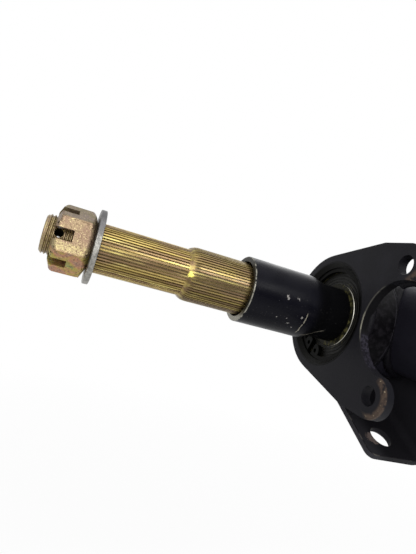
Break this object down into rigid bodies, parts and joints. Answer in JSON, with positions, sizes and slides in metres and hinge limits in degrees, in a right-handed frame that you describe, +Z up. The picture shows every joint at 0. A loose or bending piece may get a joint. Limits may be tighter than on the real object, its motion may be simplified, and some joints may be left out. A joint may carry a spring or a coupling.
{
  "type": "rear axle shaft",
  "caption": "Splined rear axle shaft with slotted end nuts, running in ball bearings in the flanged carriers of a welded swing arm.",
  "frame": {"origin": "on the axle's axis, half way between the two wheel seats", "axes": "+X along the axle towards the right wheel, -Y forward to the swing arm's pivot, +Z up"},
  "size_m": [0.5278, 0.3296, 0.1211],
  "materials": {
    "shaft_zinc": "yellow zinc plated, turned and rolled, with worn tooth tips",
    "nut_zinc": "yellow zinc plated, speckled",
    "washer_zinc": "clear zinc plated, dull",
    "sleeve_black": "satin black with chips at the mouth",
    "spacer_steel": "bright drawn tube",
    "bearing_steel": "ground",
    "ball_steel": "polished",
    "cage_plastic": "moulded",
    "seal_rubber": "moulded, with grease at the lip",
    "ring_steel": "phosphated spring steel",
    "cast_black": "satin black over cast steel, worn edges",
    "frame_black": "satin black powder coat",
    "bush_plastic": "moulded"
  },
  "bodies": {
    "swing_arm": {"carrier_tube": "frame_black", "pivot_tube": "frame_black", "left_bearing_carrier": "cast_black", "left_swing_arm": "frame_black", "left_lower_bracket": "frame_black", "left_shock_ear": "frame_black", "left_pivot_bush": "bush_plastic", "left_snap_ring": "ring_steel", "left_bearing_outer_ring": "bearing_steel", "left_bearing_outer_seal": "seal_rubber", "left_bearing_inner_seal": "seal_rubber", "right_bearing_carrier": "cast_black", "right_swing_arm": "frame_black", "right_lower_bracket": "frame_black", "right_shock_ear": "frame_black", "right_pivot_bush": "bush_plastic", "right_snap_ring": "ring_steel", "right_bearing_outer_ring": "bearing_steel", "right_bearing_outer_seal": "seal_rubber", "right_bearing_inner_seal": "seal_rubber"},
    "pivot_sleeve": {"pivot_sleeve": "spacer_steel"},
    "axle": {"axle_shaft": "shaft_zinc", "inner_spacer_tube": "spacer_steel", "left_nut": "nut_zinc", "left_washer": "washer_zinc", "left_spacer_sleeve": "sleeve_black", "left_bearing_inner_ring": "bearing_steel", "right_nut": "nut_zinc", "right_washer": "washer_zinc", "right_spacer_sleeve": "sleeve_black", "right_bearing_inner_ring": "bearing_steel"},
    "left_ball_set": {"left_bearing_balls": "ball_steel", "left_bearing_cage": "cage_plastic"},
    "right_ball_set": {"right_bearing_balls": "ball_steel", "right_bearing_cage": "cage_plastic"}
  },
  "joints": [
    {"name": "axle_spin", "type": "hinge", "parent": "swing_arm", "child": "axle", "pos_m": [0, 0, 0], "axis": [1, 0, 0], "continuous": true},
    {"name": "left_ball_set_spin", "type": "hinge", "parent": "swing_arm", "child": "left_ball_set", "pos_m": [-0.104, 0, 0], "axis": [1, 0, 0], "continuous": true},
    {"name": "right_ball_set_spin", "type": "hinge", "parent": "swing_arm", "child": "right_ball_set", "pos_m": [0.104, 0, 0], "axis": [1, 0, 0], "continuous": true},
    {"name": "pivot_sleeve_turn", "type": "hinge", "parent": "swing_arm", "child": "pivot_sleeve", "pos_m": [0, -0.27, 0.003], "axis": [1, 0, 0], "range_deg": [-15, 15]}
  ],
  "couplings": [
    {"joint": "left_ball_set_spin", "follows": "axle_spin", "ratio": 0.41075},
    {"joint": "right_ball_set_spin", "follows": "axle_spin", "ratio": 0.41075}
  ]
}
